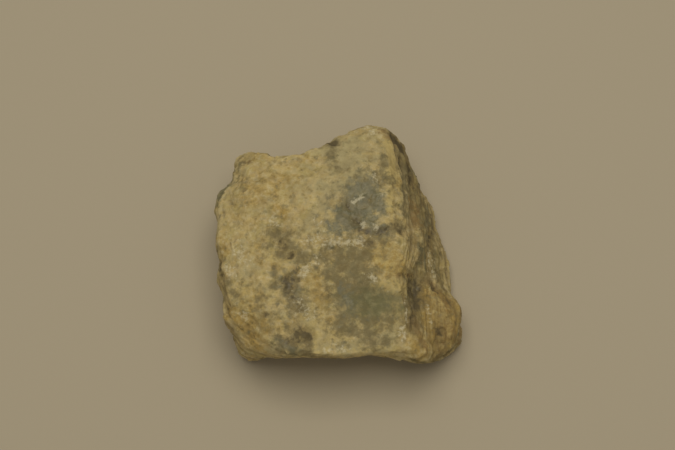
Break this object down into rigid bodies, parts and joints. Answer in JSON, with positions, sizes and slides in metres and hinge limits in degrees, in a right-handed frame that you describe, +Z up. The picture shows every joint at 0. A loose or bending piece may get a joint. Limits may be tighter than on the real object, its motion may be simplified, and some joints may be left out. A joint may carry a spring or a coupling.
{
  "type": "raw anhydrite block",
  "caption": "Rough block of massive anhydrite with a broad weathered face, a steep broken flank with a rounded lobe, and a flat-lying broken underside.",
  "frame": {"origin": "on the ground, under the middle of the block's box", "axes": "+Z up out of the broad weathered face, +X towards the steep flank with the lobe, +Y towards the peaked back edge"},
  "size_m": [0.155, 0.158, 0.06],
  "materials": {
    "anhydrite": "granular, cream to ochre with grey-green glassy patches"
  },
  "bodies": {
    "root": {"anhydrite_block": "anhydrite"}
  },
  "joints": []
}
